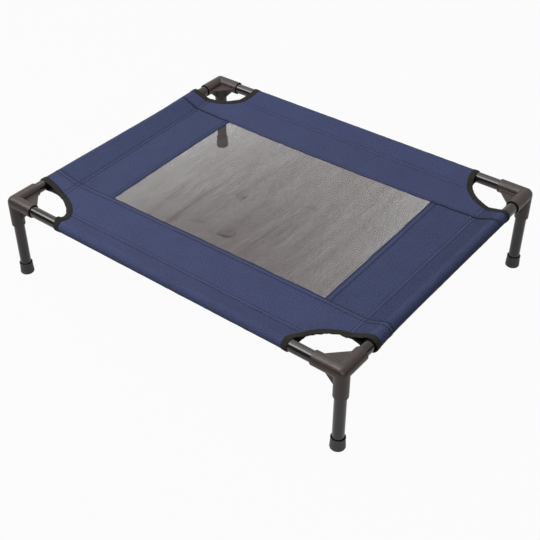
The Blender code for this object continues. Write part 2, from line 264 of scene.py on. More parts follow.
def edge_count(rows):
    return FLAT_STEPS + len(edge_ticks(rows))


def row_places(rows):
    """Numbers of the places on the rows of stitches, among those of toward_edge."""
    return [FLAT_STEPS + edge_ticks(rows).index(row) for row in rows]


# Relief: each gives how far the fabric stands off its even surface, and how much painted shade it gets there,
# 0 to 1, with painted light and wear where it is negative

def stitched(distance, dark):
    dip = math.exp(-(distance / GROOVE_WIDTH) ** 2)
    return -GROOVE_DEPTH * dip, dark * dip


def puffed(distance, half):
    return max(0.0, 1 - (distance / half) ** 4)


def seam_relief(distance, side):
    """Across the double seam of a side's sleeve, from its middle."""
    near, near_painted_shade = stitched(distance + HALF_GAP, SEAM_PAINTED_SHADES[side.name])
    far, far_painted_shade = stitched(distance - HALF_GAP, SEAM_PAINTED_SHADES[side.name])
    ridge = puffed(distance, HALF_GAP)
    return near + far + PUFF * ridge, max(near_painted_shade, far_painted_shade) - RIDGE_WEAR_AND_HIGHLIGHT * ridge


def hem_relief(distance, side, lapped=False):
    """Back from the folded edge of a side's border. Lapped is where it lies over a short border."""
    width = LAP_ROUNDS.get(side.name, EDGE_ROUND) if lapped else EDGE_ROUND
    # The folded edge's rim drops and gets a painted shadow
    rim = max(0.0, 1 - distance / width)
    height, crease = -EDGE_DROPS[side.name] * rim ** 2, EDGE_PAINTED_SHADOWS[side.name] * min(1.0, 2 * rim)
    for row in side.hem_rows:
        dip, dark = stitched(distance - row, HEM_PAINTED_SHADES[side.name])
        height, crease = height + dip, max(crease, dark)
    inner, outer = side.hem_rows[0], (side.hem_rows + (0.0,))[1]
    ridge = puffed(distance - (inner + outer) / 2, (inner - outer) / 2)
    return height + HEM_PUFF * ridge, crease - RIDGE_WEAR_AND_HIGHLIGHT * ridge


def ripple(x, y):
    """Unevenness of the taut cover. It dies out towards the rails."""
    inward = min(HALF_LONG - abs(x), HALF_SHORT - abs(y)) - TUBE_RADIUS
    grown = min(1.0, max(0.0, inward / RIPPLE_START))
    broad = noise.noise(Vector((x, y, 0.0)) / RIPPLE_LENGTH)
    finer, strength = FINE_RIPPLE
    fine = noise.noise(Vector((x, y, 0.1)) * finer / RIPPLE_LENGTH)
    return RIPPLE * grown * (broad + strength * fine)


def wrinkle(x, y):
    """Folds of a sleeve, which run round its rail."""
    return WRINKLE * noise.noise(Vector((x, y, 0.5)) / WRINKLE_LENGTH)


def sag(x, y):
    inside_x = max(0.0, 1 - (x / (HALF_LONG - SAG_START)) ** 2)
    inside_y = max(0.0, 1 - (y / (HALF_SHORT - SAG_START)) ** 2)
    return SAG * inside_x * inside_y


class Side:
    """One rail of the frame with the seams along it. Along is the world coordinate on the rail."""

    def __init__(self, name):
        self.name = name
        self.lengthwise = name in ("front", "back")
        self.sign = 1 if name in ("back", "right") else -1
        self.half = HALF_LONG if self.lengthwise else HALF_SHORT
        self.out = HALF_SHORT if self.lengthwise else HALF_LONG
        self.hem_rows = HEM_ROWS[name]

    def share(self, along):
        return (along + self.half) / (2 * self.half)

    def seam(self, along):
        return bowed(*SLEEVE_SEAMS[self.name], self.share(along))

    def edge(self, along):
        wave = noise.noise(Vector((along / EDGE_RUN, self.out, self.sign)))
        return bowed(*INNER_EDGES[self.name], self.share(along)) + EDGE_WAVES[self.name] * wave

    def sleeve(self, along, level=0.0):
        place, half_width, growth = LOOSE.get(self.name, (0.0, 1.0, 0.0))
        return Sleeve(self.seam(along), level, growth * math.exp(-((along - place) / half_width) ** 2))

    def corners(self):
        """Those at the ends of a long side, left first."""
        return [Corner(self.name + "_left"), Corner(self.name + "_right")]

    def split(self):
        """Line along a long rail where the rows along that rail end and those of the end tabs begin."""
        return (max(SLEEVE_SEAMS[self.name][:2]) + min(corner.short_reach for corner in self.corners())) / 2

    def across(self, distance):
        """World coordinate square to the rail, at a distance inward from its axis."""
        return self.sign * (self.out - distance)

    def order(self, along, across):
        return (along, across) if self.lengthwise else (across, along)


class Sleeve:
    """Cross-section of the cover at a rail. The fabric slopes up from its seam, turns round the rail's
    outer side and comes back below to an allowance under the seam.

    Distances run inward from the rail's axis and heights up from it. An offset lies outward of the
    fabric's middle.
    """

    def __init__(self, seam, level, loose=0.0):
        self.radius = SLEEVE_RADIUS + loose
        self.seam = seam
        self.close = seam + SEAM_TICKS[0]
        self.level = level
        self.under_level = level - LAYER
        self.hem = seam + SEAM_ALLOWANCE
        self.tilt = self.slope_angle(level)
        self.under_tilt = self.slope_angle(-self.under_level)

    def slope_angle(self, level):
        span = math.hypot(self.close, level)
        return math.asin(self.radius / span) - math.atan2(level, self.close)

    def over(self, distance, offset=0.0):
        rise = (self.close - distance) * math.tan(self.tilt) + offset / math.cos(self.tilt)
        return self.level + max(offset, rise)

    def under(self, distance, offset=0.0):
        drop = (self.close - distance) * math.tan(self.under_tilt) + offset / math.cos(self.under_tilt)
        return self.under_level - max(offset, drop)

    def at(self, kind, value, offset):
        """Distance and height of a station."""
        if kind == "wrap":
            radius = self.radius + offset
            return radius * math.cos(value), -radius * math.sin(value)
        return value, getattr(self, kind)(value, offset)

    def stations(self):
        """Kind, value and distance along the cut cloth, from the hem below round the rail to the seam."""
        touch = self.radius * math.sin(self.tilt)
        under_touch = self.radius * math.sin(self.under_tilt)
        first = math.pi / 2 - self.under_tilt
        last = RAIL_TOP + self.tilt
        on_top = self.close - (self.close - touch) / math.cos(self.tilt)
        below = on_top - self.radius * (last - first)
        at_close = below - (self.close - under_touch) / math.cos(self.under_tilt)
        found = [("under", d, at_close - (d - self.close))
                 for d in [self.hem] + steps(self.hem, self.close, HEM_STEPS)]
        found += [("under", d, below - (d - under_touch) / math.cos(self.under_tilt))
                  for d in steps(self.close, under_touch, SLOPE_STEPS)[:-1]]
        found += [("wrap", a, on_top - self.radius * (last - a))
                  for a in [first] + steps(first, last, WRAP_STEPS)]
        found += [("over", d, self.close - (self.close - d) / math.cos(self.tilt))
                  for d in steps(touch, self.close, SLOPE_STEPS)[:-1]]
        return found + [("over", self.seam + tick, self.seam + tick) for tick in SEAM_TICKS]


class Corner:
    """A corner of the frame with the opening in the cover there. Its own coordinates are the distances
    inward along the long and the short rail from the corner's axis."""

    def __init__(self, name):
        self.name = name
        self.long_side, self.short_side = (Side(part) for part in name.split("_"))
        self.side_x, self.side_y = self.short_side.sign, self.long_side.sign
        self.long_reach, self.short_reach, self.roundness, self.tape = CUTOUTS[name]
        self.curl = TAPE_CURLS.get(name, 0.0)

    def point(self, along_long, along_short, height):
        return (self.side_x * (HALF_LONG - along_long), self.side_y * (HALF_SHORT - along_short),
                RAIL_HEIGHT + height)

    def arc(self, distance, across_reach, reach):
        share = max(distance, 0) / across_reach
        return reach * max(1 - share ** self.roundness, 0) ** (1 / self.roundness)

    def long_at(self, along_short):
        return self.arc(along_short, self.short_reach, self.long_reach)

    def short_at(self, along_long):
        return self.arc(along_long, self.long_reach, self.short_reach)

    def inward(self, along_long, along_short):
        """Direction from the cut edge square into the fabric."""
        power = self.roundness - 1
        slope_long = (max(along_long, 0) / self.long_reach) ** power / self.long_reach
        slope_short = (max(along_short, 0) / self.short_reach) ** power / self.short_reach
        length = math.hypot(slope_long, slope_short)
        return slope_long / length, slope_short / length


# Meshes

class Patch:
    """A grid of places on a fabric: its middle, the place on the cut cloth, and its painted shade."""

    def __init__(self, rows):
        self.points, self.cloth, self.crease = (np.array([[place[part] for place in row] for row in rows])
                                                for part in range(3))
        normals = np.cross(np.gradient(self.points, axis=0), np.gradient(self.points, axis=1))
        normals /= np.linalg.norm(normals, axis=2, keepdims=True) + 1e-12
        middle = normals[-1, normals.shape[1] // 2, 2]
        self.normals = normals * (1 if middle > 0 else -1)


def placed(name, data, matrix=Matrix()):
    """A new object in the scene."""
    made = bpy.data.objects.new(name, data)
    bpy.context.scene.collection.objects.link(made)
    made.matrix_world = matrix
    return made


def finish_mesh(bm, name, sharp=math.radians(40)):
    bmesh.ops.remove_doubles(bm, verts=bm.verts, dist=2e-6)
    bmesh.ops.recalc_face_normals(bm, faces=bm.faces)
    mesh = bpy.data.meshes.new(name)
    bm.to_mesh(mesh)
    bm.free()
    mesh.shade_smooth()
    mesh.set_sharp_from_angle(angle=sharp)
    return mesh


def piece_of(name, mesh, finish, nodes=(), matrix=Matrix()):
    """Puts a mesh in the scene as a piece that rides on the cot and stands for the given nodes."""
    piece = placed(name, mesh, matrix)
    if not mesh.materials:
        mesh.materials.append(finish)
    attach(piece, "root")
    if nodes:
        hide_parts(*nodes)
    return piece


def fabric_mesh(name, patches):
    bm = bmesh.new()
    cloth = bm.verts.layers.float_vector.new("cloth")
    crease = bm.verts.layers.float.new("crease")
    for patch in patches:
        rows, columns = patch.crease.shape
        made = []
        for spot in np.ndindex(rows, columns):
            vertex = bm.verts.new(patch.points[spot])
            vertex[cloth] = (*patch.cloth[spot], 0.0)
            vertex[crease] = patch.crease[spot]
            made.append(vertex)
        for row, column in np.ndindex(rows - 1, columns - 1):
            at = row * columns + column
            bm.faces.new((made[at], made[at + 1], made[at + columns + 1], made[at + columns]))
    return finish_mesh(bm, name)


def thicken(piece):
    solid = piece.modifiers.new("thickness", "SOLIDIFY")
    solid.thickness = FABRIC
    solid.offset = 0.0
    return piece


def turned(profile, name):
    """A body turned round Z from an outline of (radius, height) points, which may start and end on Z."""
    bm = bmesh.new()
    points = [bm.verts.new((radius, 0, height)) for radius, height in profile]
    pairs = list(zip(points, points[1:]))
    if profile[0][0] > 0:
        pairs.append((points[-1], points[0]))
    edges = [bm.edges.new(pair) for pair in pairs]
    bmesh.ops.spin(bm, geom=points + edges, axis=(0, 0, 1), cent=(0, 0, 0), angle=math.tau,
                   steps=ROUND_STEPS, use_merge=True)
    return finish_mesh(bm, name, math.radians(25))


# Borders of the cover

def border_place(side, along, kind, value, developed, sleeve, relief):
    """A place on a border, from its station across the rail."""
    cloth = side.order(along, side.across(developed))
    spot = side.order(along, side.across(sleeve.at(kind, value, 0.0)[0]))
    bare = bare_share(*spot)
    offset, crease = relief[0] * bare, relief[1] * bare
    # A sleeve's slope gets its painted shade from SLEEVE_SHADES; negative values paint light
    if kind == "over" and value < sleeve.close:
        shade = SLEEVE_SHADES[side.name]
        crease += shade * min(1.0, (value - TUBE_RADIUS * math.sin(sleeve.tilt)) / SLEEVE_SHADE_START)
    folds = wrinkle(*cloth) * bare
    if kind == "under":
        # The layer below moves with the one above it, the more so the nearer they are to their seam
        free = min(1.0, max(0.0, (sleeve.close - value) / sleeve.close))
        offset += HANG * min(1.0, max(0.0, (value - sleeve.close) / SEAM_ALLOWANCE)) - ripple(*spot)
        folds = lerp(-wrinkle(*spot) * bare, folds, free)
    else:
        offset += ripple(*spot)
    distance, height = sleeve.at(kind, value, offset + folds)
    x, y = side.order(along, side.across(distance))
    if kind == "over":
        height -= sag(x, y)
    return (x, y, RAIL_HEIGHT + height), cloth, crease


def both(one, other):
    """Two reliefs on the same place."""
    return one[0] + other[0], max(one[1], other[1], key=abs)


def bare_share(x, y):
    """How far a place is from the tapes: 0 under one, 1 off it."""
    name = ("front" if y < 0 else "back") + ("_left" if x < 0 else "_right")
    along_long, along_short = HALF_LONG - abs(x), HALF_SHORT - abs(y)
    long_reach, short_reach, roundness, tape = CUTOUTS[name]
    long_share, short_share = max(along_long, 0) / long_reach, max(along_short, 0) / short_reach
    beyond = ((long_share ** roundness + short_share ** roundness) ** (1 / roundness) - 1) * short_reach
    return min(1.0, max(0.0, beyond / tape - (1 - TAPE_FADE)) / TAPE_FADE)


def long_border(side):
    """Patches of a long border: along its sleeve, its flat part, and a tab round each short rail."""
    ends = side.corners()
    split = side.split()

    def along_at(distance, share):
        left, right = (end.long_at(distance) for end in ends)
        return lerp(left - HALF_LONG, HALF_LONG - right, share)

    sleeve_rows = []
    for column in range(LONG_COLUMNS + 1):
        share = column / LONG_COLUMNS
        sleeve = side.sleeve(along_at(split, share))
        stations = sleeve.stations()
        stations += [("over", d, d) for d in steps(sleeve.seam + SEAM_TICKS[-1], split, SPLIT_STEPS)]
        row = []
        for kind, value, developed in stations:
            plan = sleeve.at(kind, value, 0.0)[0]
            relief = seam_relief(developed - sleeve.seam, side)
            row.append(border_place(side, along_at(plan, share), kind, value, developed, sleeve, relief))
        sleeve_rows.append(row)

    flat_rows = []
    flat = side.sleeve(0.0)
    left, right = (end.short_side for end in ends)
    for column in range(LONG_COLUMNS + 1):
        along = along_at(split, column / LONG_COLUMNS)
        edge = side.edge(along)
        across = side.across(edge)
        lapped = not left.across(left.edge(across)) < along < right.across(right.edge(across))
        row = []
        for index in range(edge_count(side.hem_rows)):
            d = toward_edge(split, edge, side.hem_rows, index)
            relief = hem_relief(edge - d, side, lapped)
            row.append(border_place(side, along, "over", d, d, flat, relief))
        flat_rows.append(row)
    return [Patch(sleeve_rows), Patch(flat_rows)] + [end_tab(side, end, split) for end in ends]


def end_tab(side, end, split):
    """Patch of a long border where it turns round a short rail."""
    cross = end.short_side
    corner_edge = side.edge(end.side_x * (HALF_LONG - end.long_at(split)))
    columns = []
    for index in range(edge_count(side.hem_rows)):
        reference = side.across(toward_edge(split, corner_edge, side.hem_rows, index))
        sleeve = cross.sleeve(reference)
        stations = sleeve.stations()
        last = sleeve.seam + SEAM_TICKS[-1]
        stations += [("over", e, e) for e in steps(last, end.long_at(split), TAB_STEPS)]
        column = []
        for kind, value, developed in stations:
            plan = sleeve.at(kind, value, 0.0)[0]
            edge = side.edge(end.side_x * (HALF_LONG - plan))
            d = toward_edge(end.short_at(plan), edge, side.hem_rows, index)
            relief = both(seam_relief(developed - sleeve.seam, cross), hem_relief(edge - d, side, True))
            column.append(border_place(cross, side.across(d), kind, value, developed, sleeve, relief))
        columns.append(column)
    return Patch(np.transpose(np.array(columns, dtype=object), (1, 0, 2)).tolist())


def short_border(side):
    """Patches of a short border: between the tabs of the long ones, and its ends tucked under them."""
    front, back = Side("front"), Side("back")
    count = edge_count(side.hem_rows) - 1      # the first place is the sleeve's last station

    def ends_at(distance):
        x = side.across(distance)
        return front.across(front.edge(x)), back.across(back.edge(x))

    def place(share, index, low, high, sleeve, stations):
        kind, value, developed = stations[index]
        along = lerp(low, high, share)
        edge = side.edge(along)
        if index >= len(stations) - count:
            step = index - (len(stations) - count) + 1
            value = developed = toward_edge(sleeve.seam + SEAM_TICKS[-1], edge, side.hem_rows, step)
        relief = both(seam_relief(developed - sleeve.seam, side), hem_relief(edge - developed, side))
        return border_place(side, along, kind, value, developed, sleeve, relief)

    def stations_of(sleeve):
        return sleeve.stations() + [("over", 0.0, 0.0)] * count

    middle = []
    for column in range(SHORT_COLUMNS + 1):
        share = column / SHORT_COLUMNS
        low, high = ends_at(side.seam(0.0))
        sleeve = side.sleeve(lerp(low, high, share), -LAYER)
        stations = stations_of(sleeve)
        row = []
        for index, (kind, value, _) in enumerate(stations):
            low, high = ends_at(sleeve.at(kind, value, 0.0)[0] if value else side.edge(0.0))
            row.append(place(share, index, low, high, sleeve, stations))
        middle.append(row)
    patches = [Patch(middle)]
    for end, tuck in ((0, -WINDOW_LAP), (1, WINDOW_LAP)):
        rows = []
        for column in range(TUCK_STEPS + 1):
            sleeve = side.sleeve(ends_at(side.seam(0.0))[end], -LAYER)
            stations = stations_of(sleeve)
            first = len(stations) - count
            edge = ends_at(side.edge(0.0))[end]
            rows.append([place(column / TUCK_STEPS, index, edge, edge + tuck, sleeve, stations)
                         for index in range(first, len(stations))])
        patches.append(Patch(rows))
    return patches


def mesh_crease(x, y):
    """How much painted shade the mesh's creases give a place, which also draws the mesh denser there, and how
    far they push it up.
    """
    crease = height = 0.0
    for from_x, from_y, to_x, to_y, half_width, push, dark in MESH_CREASES:
        start, run = Vector((from_x, from_y)), Vector((to_x - from_x, to_y - from_y))
        along = min(1.0, max(0.0, (Vector((x, y)) - start).dot(run) / run.length_squared))
        share = math.exp(-((Vector((x, y)) - start - along * run).length / half_width) ** 2)
        crease = max(crease, dark * share)
        height += push * share
    return crease, height


def mesh_window():
    """Patch of the mesh, lapped under the four borders."""
    front, back, left, right = (Side(name) for name in ("front", "back", "left", "right"))
    rows = []
    for row in range(WINDOW_ROWS + 1):
        places = []
        for column in range(WINDOW_COLUMNS + 1):
            x = y = 0.0
            for _ in range(3):
                x = lerp(left.across(left.edge(y) - WINDOW_LAP), right.across(right.edge(y) - WINDOW_LAP),
                         column / WINDOW_COLUMNS)
                y = lerp(front.across(front.edge(x) - WINDOW_LAP), back.across(back.edge(x) - WINDOW_LAP),
                         row / WINDOW_ROWS)
            width, length, rise = MESH_FOLD
            fold = rise * noise.noise(Vector((x / width, y / length, 0.3)))
            crease, push = mesh_crease(x, y)
            height = -2 * LAYER - sag(x, y) + fold + push
            places.append(((x, y, RAIL_HEIGHT + height), (x, y), crease))
        rows.append(places)
    return Patch(rows)


def binding(corner):
    """Patch of the tape folded over the cut edge of a corner's opening: from under the long rail's
    sleeve, round that rail, over the cover, round the short rail and under its sleeve."""
    split = corner.long_side.split()
    long_sleeve = corner.long_side.sleeve(corner.side_x * (HALF_LONG - corner.long_reach))
    tab = corner.short_side.sleeve(corner.side_y * (HALF_SHORT - corner.short_reach))
    mm = 0.001
    width = corner.tape / mm
    # Across the tape: inset from the cut edge, offset from the fabric's middle, share of the edge's waves
    profile = [(width, 0.5, 0.1), (width - 0.5, 0.8, 0.1), (width - 1.6, 0.62, 0.1), (width - 2.8, 0.9, 0.1),
               (width * 0.55, 1.05, 0.3), (width * 0.3, 1.05, 0.6), (1.2, 1.0, 1.0), (0.2, 0.85, 1.0),
               (-0.5, 0.5, 1.0), (-0.8, 0.0, 1.0), (-0.5, -0.5, 1.0), (0.2, -0.8, 1.0), (1.4, -0.8, 1.0),
               (3.2, -0.75, 0.8), (width * 0.6, -0.75, 0.3), (width, -0.7, 0.1)]
    section = [(inset * mm, offset * mm, share) for inset, offset, share in profile]
    inside_limit = -0.2 * mm   # so far in does the tape reach between sleeve and rail

    long_stations = long_sleeve.stations()
    tab_stations = tab.stations()

    def on_flat(along_long, along_short, height):
        to_long, to_short = corner.inward(along_long, along_short)
        spot = Vector((along_long, along_short, corner.long_reach))
        fine_run, strength = FINE_TAPE_WAVE
        wave = noise.noise(spot / TAPE_WAVE_RUN) + strength * noise.noise(spot / fine_run)
        row = []
        for inset, offset, share in section:
            inset += TAPE_WAVES[corner.name] * wave * share
            x, y = along_long + to_long * inset, along_short + to_short * inset
            row.append(corner.point(x, y, height(x, y, offset)))
        return row

    def over(x, y, offset):
        world = corner.point(x, y, 0.0)
        offset += ripple(world[0], world[1]) + corner.curl * math.exp(-(y / CURL_WIDTH) ** 2)
        return max(long_sleeve.over(y, offset), tab.over(x, offset)) - sag(world[0], world[1])

    def under_long(x, y, offset):
        return long_sleeve.under(min(y, long_sleeve.hem), offset)

    def under_short(x, y, offset):
        return tab.under(min(x, tab.hem), offset)

    rows = [on_flat(corner.long_at(d), d, under_long) for kind, d, _ in long_stations if kind == "under"]
    for kind, angle, _ in long_stations:
        if kind == "wrap":
            curl = corner.curl * math.exp(-((angle - RAIL_TOP) / CURL_ANGLE) ** 2)
            row = []
            for inset, offset, share in section:
                spot = long_sleeve.at("wrap", angle, max(offset, inside_limit) + curl * share)
                row.append(corner.point(corner.long_reach + inset, *spot))
            rows.append(row)
    slope = [d for kind, d, _ in long_stations if kind == "over" and d <= long_sleeve.seam]
    rows += [on_flat(corner.long_at(d), d, over) for d in slope + steps(long_sleeve.seam, split, TAPE_STEPS)]
    turning = steps(corner.long_at(split), tab.seam, ARC_STEPS)
    tab_slope = [e for kind, e, _ in tab_stations if kind == "over" and e < tab.seam]
    rows += [on_flat(e, corner.short_at(e), over) for e in turning + tab_slope[::-1]]
    for kind, angle, _ in reversed(tab_stations):
        if kind == "wrap":
            row = []
            for inset, offset, _ in section:
                x, height = tab.at("wrap", angle, max(offset, inside_limit))
                row.append(corner.point(x, corner.short_reach + inset, height))
            rows.append(row)
    rows += [on_flat(e, corner.short_at(e), under_short)
             for kind, e, _ in reversed(tab_stations) if kind == "under"]

    points = np.array(rows)
    run = run_along(points[:, len(section) // 3])
    return Patch([[(tuple(point), (reached, place[0]), 0.0) for point, place in zip(row, section)]
                  for reached, row in zip(run, points)])


# Stitches

def run_along(line):
    """How far along a line of points each of them is."""
    return np.concatenate([[0], np.cumsum(np.linalg.norm(np.diff(line, axis=0), axis=1))])


def between(run, values, place):
    return np.array([np.interp(place, run, values[:, axis]) for axis in range(3)])


def unit(vector):
    return vector / np.linalg.norm(vector)


def spindle():
    """One stitch of unit size along X, with Y across and Z up, as points and faces. Its ends dip into
    the fabric."""
    points = [(-0.5, 0, -0.6)]
    for x in (-0.28, 0.28):
        points += [(x, 0.5 * math.cos(a), 0.5 * math.sin(a)) for a in steps(0, math.tau, STITCH_SIDES)]
    points.append((0.5, 0, -0.6))
    last = len(points) - 1
    faces = []
    for k in range(STITCH_SIDES):
        here, there = 1 + k, 1 + (k + 1) % STITCH_SIDES
        faces += [(0, there, here), (here, there, there + STITCH_SIDES, here + STITCH_SIDES),
                  (here + STITCH_SIDES, there + STITCH_SIDES, last)]
    return np.array(points), faces


def stitches(name, lines):
    """Stitches, and dark discs of painted shade for the dents between them, as one mesh. Each line has its
    points, its normals and the lengths left bare at its start and end."""
    shape, faces = spindle()
    disc = [(0.5 * math.cos(a), 0.5 * math.sin(a)) for a in steps(0, math.tau, STITCH_SIDES)]
    points, polygons, shade_discs = [], [], []
    for line, normals, start, end in lines:
        run = run_along(line)
        for k in range(int((run[-1] - start - end) / STITCH_PITCH)):
            middle = start + (k + 0.5) * STITCH_PITCH
            ends = [between(run, line, middle + way * STITCH_LENGTH / 2) for way in (-1, 1)]
            ahead = unit(ends[1] - ends[0])
            aside = unit(np.cross(between(run, normals, middle), ahead))
            up = np.cross(ahead, aside)
            centre_point = (ends[0] + ends[1]) / 2 + up * (FABRIC / 2 + STITCH_HEIGHT * STITCH_RISE)
            polygons += [tuple(len(points) + i for i in face) for face in faces]
            sewn = (shape[:, :1] * ahead * STITCH_LENGTH + shape[:, 1:2] * aside * STITCH_WIDTH
                    + shape[:, 2:] * up * STITCH_HEIGHT + centre_point)
            points += sewn.tolist()
            shade_discs.append(len(polygons))
            polygons.append(tuple(range(len(points), len(points) + STITCH_SIDES)))
            # A dark disc of painted shade lies in the dent after each stitch
            hole = centre_point + ahead * STITCH_PITCH / 2
            bold = 1 + NEEDLE_SHADE_SPREAD * noise.noise(Vector(hole) / MARK_RUN)
            across, aslant = ahead * bold * NEEDLE_SHADE_SIZE[0], aside * bold * NEEDLE_SHADE_SIZE[1]
            points += [(hole + across * x + aslant * y).tolist() for x, y in disc]
    mesh = bpy.data.meshes.new(name)
    mesh.from_pydata(points, [], polygons)
    mesh.shade_smooth()
    mesh.materials.append(THREAD)
    mesh.materials.append(NEEDLE_SHADE)
    for index in shade_discs:
        mesh.polygons[index].material_index = 1
    return piece_of(name, mesh, THREAD)


def line_at(patch, at, bare=(0.0, 0.0)):
    """A line of a patch for stitches: at is an index of its grid."""
    return patch.points[at], patch.normals[at], *bare


# Mouldings

TO_X = Matrix.Rotation(math.pi / 2, 4, "Y")
TO_Y = Matrix.Rotation(-math.pi / 2, 4, "X")
DOWN = Matrix.Rotation(math.pi, 4, "X")


def socket(length):
    rim = SOCKET_RADIUS - SOCKET_CHAMFER
    return turned([(0, 0), (SOCKET_RADIUS, 0), (SOCKET_RADIUS, length - SOCKET_CHAMFER), (rim, length),
                   (0, length)], "socket")


def bore(length):
    mouth = SOCKET_BORE + SOCKET_LEAD
    return turned([(0, BORE_START), (SOCKET_BORE, BORE_START), (SOCKET_BORE, length - SOCKET_LEAD_DEPTH),
                   (mouth, length - SOCKET_LEAD_DEPTH / 2), (mouth, length + SOCKET_RADIUS),
                   (0, length + SOCKET_RADIUS)], "bore")


def ball():
    half = ROUND_STEPS // 2
    arc = [math.pi * (k / half - 0.5) for k in range(half + 1)]
    outline = [(SOCKET_RADIUS * math.cos(a), SOCKET_RADIUS * math.sin(a)) for a in arc]
    outline[0] = (0, -SOCKET_RADIUS)
    outline[-1] = (0, SOCKET_RADIUS)
    return turned(outline, "ball")


def web(reach):
    """A triangular plate in the XY plane, whose free edge ends inside the walls of the two sockets."""
    inset = (SOCKET_BORE + SOCKET_RADIUS) / 2
    bm = bmesh.new()
    corners = [(0, 0), (reach - inset, inset), (inset, reach - inset)]
    plate = bm.faces.new([bm.verts.new((x, y, -WEB_THICKNESS / 2)) for x, y in corners])
    grown = bmesh.ops.extrude_face_region(bm, geom=[plate])
    top = [item for item in grown["geom"] if isinstance(item, bmesh.types.BMVert)]
    bmesh.ops.translate(bm, verts=top, vec=(0, 0, WEB_THICKNESS))
    return finish_mesh(bm, "web")


def connector_mesh():
    """The elbow with its corner axis at the origin, its rail sockets along +X and +Y and its leg socket
    down. Its edges are rounded as a mould leaves them."""
    limbs = [(RAIL_SOCKET_LENGTH, TO_X), (RAIL_SOCKET_LENGTH, TO_Y), (LEG_SOCKET_LENGTH, DOWN)]
    webs = [(RAIL_WEB_REACH, Matrix()), (LEG_WEB_REACH, TO_Y), (LEG_WEB_REACH, TO_X)]
    added = [placed("socket", socket(length), turn) for length, turn in limbs]
    added += [placed("web", web(reach), turn) for reach, turn in webs]
    cut = [placed("bore", bore(length), turn) for length, turn in limbs]
    body = placed("ball", ball())
    for operation, tools in (("UNION", added), ("DIFFERENCE", cut)):
        for tool in tools:
            step = body.modifiers.new(tool.name, "BOOLEAN")
            step.operation = operation
            step.solver = "EXACT"
            step.object = tool
    remesh = body.modifiers.new("cells", "REMESH")
    remesh.mode = "VOXEL"
    remesh.voxel_size = MOULDING_CELL
    smooth = body.modifiers.new("rounding", "SMOOTH")
    smooth.factor, smooth.iterations = MOULDING_SMOOTHING
    bpy.context.view_layer.update()
    solid = body.evaluated_get(bpy.context.evaluated_depsgraph_get())
    mesh = bpy.data.meshes.new_from_object(solid)
    mesh.name = "connector"
    for item in [body] + added + cut:
        bpy.data.objects.remove(item)
    mesh.materials.clear()
    mesh.shade_smooth()
    return mesh


def tube(node, axis):
    """A finer tube in place of a node's, along one of the world's axes."""
    low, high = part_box(node)
    middle, half = (low + high) / 2, (high - low)[axis] / 2
    bore_radius = TUBE_RADIUS - TUBE_WALL
    outline = [(bore_radius, -half), (TUBE_RADIUS, -half), (TUBE_RADIUS, half), (bore_radius, half)]
    turn = (TO_X, TO_Y, Matrix())[axis]
    piece_of("tube_" + node, turned(outline, node), STEEL, [node],
             Matrix.Translation(middle) @ turn)


def foot_mesh():
    """A cup with a rounded sole, a slight taper and a mouth that stands off the leg."""
    mouth = SOCKET_BORE + FOOT_WALL
    sole = FOOT_RADIUS - FOOT_EDGE_RADIUS
    edge = [(sole + FOOT_EDGE_RADIUS * math.sin(a), FOOT_EDGE_RADIUS * (1 - math.cos(a)))
            for a in [0] + steps(0, math.pi / 2, 8)]
    # The sole's middle is recessed, and the wall tapers to a lip round the mouth
    outside = [(0, SOLE_RECESS), (sole * 0.55, SOLE_RECESS), (sole * 0.6, 0)] + edge
    outside += [(lerp(FOOT_RADIUS, mouth, 0.55), FOOT_HEIGHT * 0.55), (mouth, FOOT_HEIGHT - 3.2 * FOOT_LIP)]
    outside += [(mouth + FOOT_LIP / 2, FOOT_HEIGHT - share * FOOT_LIP) for share in (2, 0.6)]
    outside.append((mouth, FOOT_HEIGHT))
    inside = [(SOCKET_BORE + FOOT_LEAD, FOOT_HEIGHT), (SOCKET_BORE, FOOT_HEIGHT - FOOT_LEAD_DEPTH),
              (SOCKET_BORE, FOOT_FLOOR), (0, FOOT_FLOOR)]
    return turned(outside + inside, "foot_cap")


# Finishes

def srgb(red, green, blue):
    """A colour given as 0 to 255 display values, as the shader's linear one."""
    def linear(value):
        value /= 255
        return value / 12.92 if value <= 0.04045 else ((value + 0.055) / 1.055) ** 2.4
    return (linear(red), linear(green), linear(blue), 1.0)


